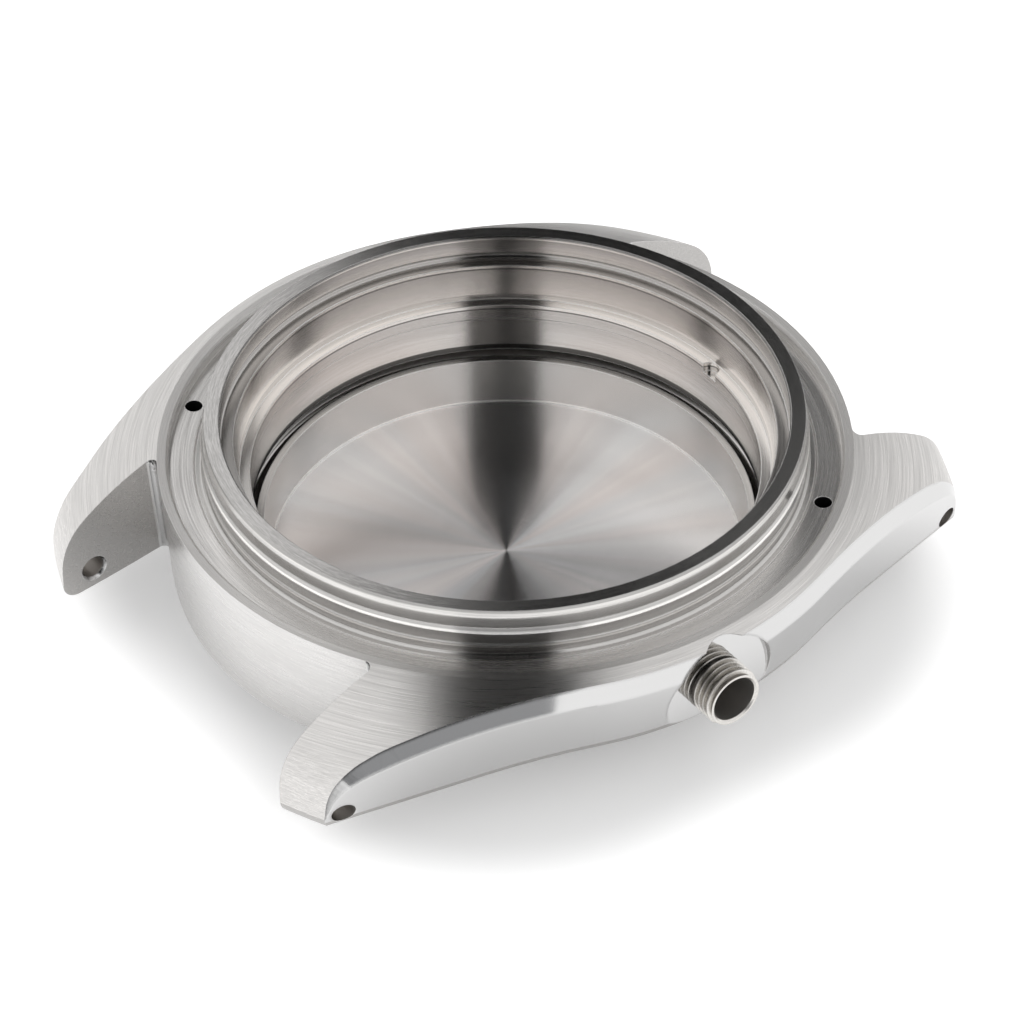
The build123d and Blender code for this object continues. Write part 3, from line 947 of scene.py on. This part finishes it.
@dataclass
class Ridge:
    """A helical thread ridge, its sizes in millimetres."""

    name: str
    root: float
    crest: float
    pitch: float
    start: float
    turns: int
    crest_share: float = 0.16
    base_share: float = 0.8
    steps: int = 96
    fade_turns: float = 0.35

    def build(self) -> bpy.types.Object:
        """Sweeps the ridge up the Z axis, right-handed, fading at both ends.

        Returns:
            The ridge's object, at the origin.
        """
        bpy.ops.object.select_all(action="DESELECT")
        bpy.ops.mesh.primitive_circle_add(vertices=4, radius=self.pitch * MM, fill_type="NOTHING")
        ridge = bpy.context.object
        ridge.name = self.name
        ridge.data.name = self.name
        half_base = self.pitch * self.base_share / 2
        half_crest = self.pitch * self.crest_share / 2
        profile = (
            (self.root, -half_base), (self.crest, -half_crest),
            (self.crest, half_crest), (self.root, half_base))
        for vertex, (reach, rise) in zip(ridge.data.vertices, profile):
            vertex.co = (reach * MM, 0, (self.start + rise) * MM)
        screw = ridge.modifiers.new("helix", "SCREW")
        screw.angle = FULL_TURN
        screw.screw_offset = self.pitch * MM
        screw.iterations = self.turns
        screw.steps = self.steps
        screw.render_steps = self.steps
        screw.use_smooth_shade = True
        bpy.ops.object.modifier_apply(modifier=screw.name)
        self.fade(ridge)
        self.close(ridge)
        return ridge

    def fade(self, ridge: bpy.types.Object) -> None:
        """Lets both ends of the ridge sink into the root.

        Args:
            ridge: the swept ridge.
        """
        rows = self.turns * self.steps
        for vertex in ridge.data.vertices:
            reach = hypot(vertex.co.x, vertex.co.y)
            turned = (vertex.co.z / MM - self.start) / self.pitch
            angle = atan2(vertex.co.y, vertex.co.x) / FULL_TURN
            row = round(turned - angle) + angle
            share = min(1.0, max(0.0, min(row, rows / self.steps - row) / self.fade_turns))
            wanted = self.root * MM + (reach - self.root * MM) * share
            vertex.co.x *= wanted / reach
            vertex.co.y *= wanted / reach

    @staticmethod
    def close(ridge: bpy.types.Object) -> None:
        """Caps the two open ends and turns the faces outwards.

        Args:
            ridge: the swept ridge.
        """
        bpy.ops.object.mode_set(mode="EDIT")
        bpy.ops.mesh.select_mode(type="EDGE")
        bpy.ops.mesh.select_all(action="DESELECT")
        bpy.ops.mesh.select_non_manifold(extend=False)
        bpy.ops.mesh.fill()
        bpy.ops.mesh.select_all(action="SELECT")
        bpy.ops.mesh.normals_make_consistent(inside=False)
        bpy.ops.object.mode_set(mode="OBJECT")
        bpy.ops.object.shade_smooth_by_angle(angle=SMOOTH_ANGLE)


def turned_body(name: str, outline: list[tuple[float, float]], steps: int = 128) -> bpy.types.Object:
    """Spins a closed outline round the Z axis.

    Args:
        name: the piece's name.
        outline: (radius, height) points, in millimetres.
        steps: how many flats make the circle.

    Returns:
        The turned object.
    """
    bpy.ops.object.select_all(action="DESELECT")
    bpy.ops.mesh.primitive_circle_add(vertices=len(outline), radius=MM, fill_type="NOTHING")
    made = bpy.context.object
    made.name = name
    made.data.name = name
    for vertex, (reach, height) in zip(made.data.vertices, outline):
        vertex.co = (reach * MM, 0, height * MM)
    bpy.ops.object.mode_set(mode="EDIT")
    bpy.ops.mesh.select_all(action="SELECT")
    bpy.ops.mesh.spin(steps=steps, angle=FULL_TURN, center=(0, 0, 0), axis=(0, 0, 1))
    bpy.ops.mesh.select_all(action="SELECT")
    bpy.ops.mesh.remove_doubles(threshold=MERGE_DISTANCE)
    bpy.ops.mesh.normals_make_consistent(inside=False)
    bpy.ops.object.mode_set(mode="OBJECT")
    bpy.ops.object.shade_smooth_by_angle(angle=SMOOTH_ANGLE)
    return made


def lay_along_x(piece: bpy.types.Object, height_mm: float) -> None:
    """Turns a piece from the Z axis to the +X axis and lifts it, in its mesh.

    Args:
        piece: the piece.
        height_mm: height of its axis.
    """
    turn = Matrix.Rotation(radians(90), 4, "Y")
    piece.data.transform(Matrix.Translation((0, 0, height_mm * MM)) @ turn)


@dataclass
class CrownTube:
    """The threaded tube at 3 o'clock, sizes in millimetres from the case's axis."""

    axis_height: float = 5.53
    inner_end: float = 17.71
    mouth: float = 21.6
    bore: float = 1.37
    bore_end: float = 18.5
    stem_bore: float = 0.85
    root: float = 1.5
    crest: float = 1.74
    seat: float = 1.55
    recess_floor: float = 19.9
    mouth_bevel: float = 0.12
    inner_bevel: float = 0.1
    pitch: float = 0.37
    turns: int = 4
    sunk: float = 0.03

    def build(self) -> bpy.types.Object:
        """Builds the tube with its helical thread.

        Returns:
            The piece.
        """
        tube = turned_body("crown_tube_threaded", [
            (self.stem_bore, self.inner_end),
            (self.stem_bore, self.bore_end),
            (self.bore, self.bore_end),
            (self.bore, self.mouth - self.inner_bevel),
            (self.bore + self.inner_bevel, self.mouth),
            (self.crest - self.mouth_bevel, self.mouth),
            (self.root, self.mouth - self.mouth_bevel),
            (self.root, self.recess_floor + self.inner_bevel),
            (self.seat, self.recess_floor + self.inner_bevel),
            (self.seat, self.inner_end),
        ])
        ridge = Ridge(
            "tube_thread", root=self.root - self.sunk, crest=self.crest, pitch=self.pitch,
            start=self.recess_floor, turns=self.turns, base_share=0.62, crest_share=0.22,
            fade_turns=0.15).build()
        self.dress(tube, ridge)
        lay_along_x(ridge, self.axis_height)
        lay_along_x(tube, self.axis_height)
        bpy.ops.object.select_all(action="DESELECT")
        ridge.select_set(True)
        tube.select_set(True)
        bpy.context.view_layer.objects.active = tube
        bpy.ops.object.join()
        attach(tube, Body.CASE.value)
        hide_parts("crown_tube")
        return tube

    def dress(self, tube: bpy.types.Object, ridge: bpy.types.Object) -> None:
        """Gives the tube's outside its finish, and its grooves and its bore their colours of painted
        shade.

        Args:
            tube: the turned body, still on the Z axis.
            ridge: its thread, still on the Z axis.
        """
        steels = (TUBE_STEEL, TUBE_GROOVE, TUBE_BORE)
        for piece in (tube, ridge):
            piece.data.materials.clear()
            for steel in steels:
                piece.data.materials.append(Finish(steel, -self.axis_height * MM).shared())
        for polygon in tube.data.polygons:
            reach = hypot(polygon.center.x, polygon.center.y) / MM
            if reach < self.bore + self.inner_bevel / 10:
                polygon.material_index = steels.index(TUBE_BORE)
            elif abs(polygon.normal.z) < 0.3 and reach < self.seat:
                polygon.material_index = steels.index(TUBE_GROOVE)


@dataclass
class BackThread:
    """The screw thread between the mid-case and the case back, sizes in millimetres."""

    pitch: float = 0.5
    female_root: float = 15.04
    female_crest: float = 14.78
    male_root: float = 14.74
    male_crest: float = 15.0
    female_start: float = 2.55
    turns: int = 3
    steps: int = 160
    female_sunk: float = 0.02
    male_sunk: float = 0.03

    def build(self) -> list[bpy.types.Object]:
        """Builds the two ridges.

        Returns:
            The pieces: the mid-case's ridge and the case back's.
        """
        female = Ridge(
            "mid_case_thread", root=self.female_root + self.female_sunk, crest=self.female_crest,
            pitch=self.pitch, start=self.female_start, turns=self.turns, steps=self.steps).build()
        male = Ridge(
            "case_back_thread", root=self.male_root - self.male_sunk, crest=self.male_crest,
            pitch=self.pitch, start=self.female_start - self.pitch / 2, turns=self.turns - 1,
            steps=self.steps).build()
        for piece, body, slot in ((female, Body.CASE, Slot.CASE), (male, Body.BACK, Slot.BACK)):
            piece.data.materials.clear()
            piece.data.materials.append(Finish(CREST).shared())
            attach(piece, body.value)
        return [female, male]


@dataclass
class CaseBack:
    """The screwed case back: the CAD node with its turned finishes, and its gasket."""

    cup_reach: float = 13.9
    ring_reach: float = 14.75
    slack: float = 0.1
    rubber_colour: Point = (0.02, 0.02, 0.02)
    rubber_roughness: float = 0.6
    finishes: tuple[Steel, ...] = (FLOOR, CUP, TURNED, THREAD)

    def finish_of(self, face: Island) -> Steel:
        """Chooses the finish of a surface.

        Args:
            face: the surface.

        Returns:
            Its finish.
        """
        level = abs(face.up) > 0.9
        if level and face.reach[1] < self.cup_reach:
            return FLOOR
        if face.reach[1] < self.cup_reach:
            return CUP
        if face.reach[0] < self.ring_reach - self.slack and not level and face.outwards > 0.3:
            return THREAD
        return TURNED

    def dress(self, back: bpy.types.Object, gasket: bpy.types.Object) -> None:
        """Gives both nodes their finish.

        Args:
            back: the case back's node.
            gasket: the gasket's node.
        """
        dress_islands(back, self.finishes, self.finish_of)
        rubber = bpy.data.materials.new("gasket_rubber_black")
        rubber.use_nodes = True
        tree = Tree(rubber.node_tree)
        shader = tree.node("ShaderNodeBsdfPrincipled")
        shader.inputs["Base Color"].default_value = (*self.rubber_colour, 1)
        shader.inputs["Roughness"].default_value = self.rubber_roughness
        tree.join(shader.outputs[0], tree.node("ShaderNodeOutputMaterial").inputs[0])
        gasket.data.materials.clear()
        gasket.data.materials.append(rubber)


def note_sizes(name: str, boxes: dict[str, list[list[float]]]) -> None:
    """Keeps the object's box under a name.

    Args:
        name: what the box is of.
        boxes: the boxes so far.
    """
    bpy.context.view_layer.update()
    boxes[name] = [list(corner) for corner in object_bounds()]


def main() -> None:
    """Builds the looks in order."""
    logging.basicConfig(level=logging.INFO, format="%(name)s: %(message)s")
    bpy.ops.wm.read_factory_settings(use_empty=True)
    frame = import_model()
    boxes: dict[str, list[list[float]]] = {}
    note_sizes("cad", boxes)
    Camera().build()
    Studio().build()
    nodes = frame["nodes"]
    MidCase().dress(nodes["mid_case"])
    LOG.info("mid_case dressed")
    CaseBack().dress(nodes["case_back"], nodes["case_back_gasket"])
    LOG.info("case_back dressed")
    tube = CrownTube().build()
    LOG.info("%s built", tube.name)
    for piece in BackThread().build():
        LOG.info("%s built", piece.name)
    note_sizes("visual", boxes)


if __name__ == "__main__":
    main()
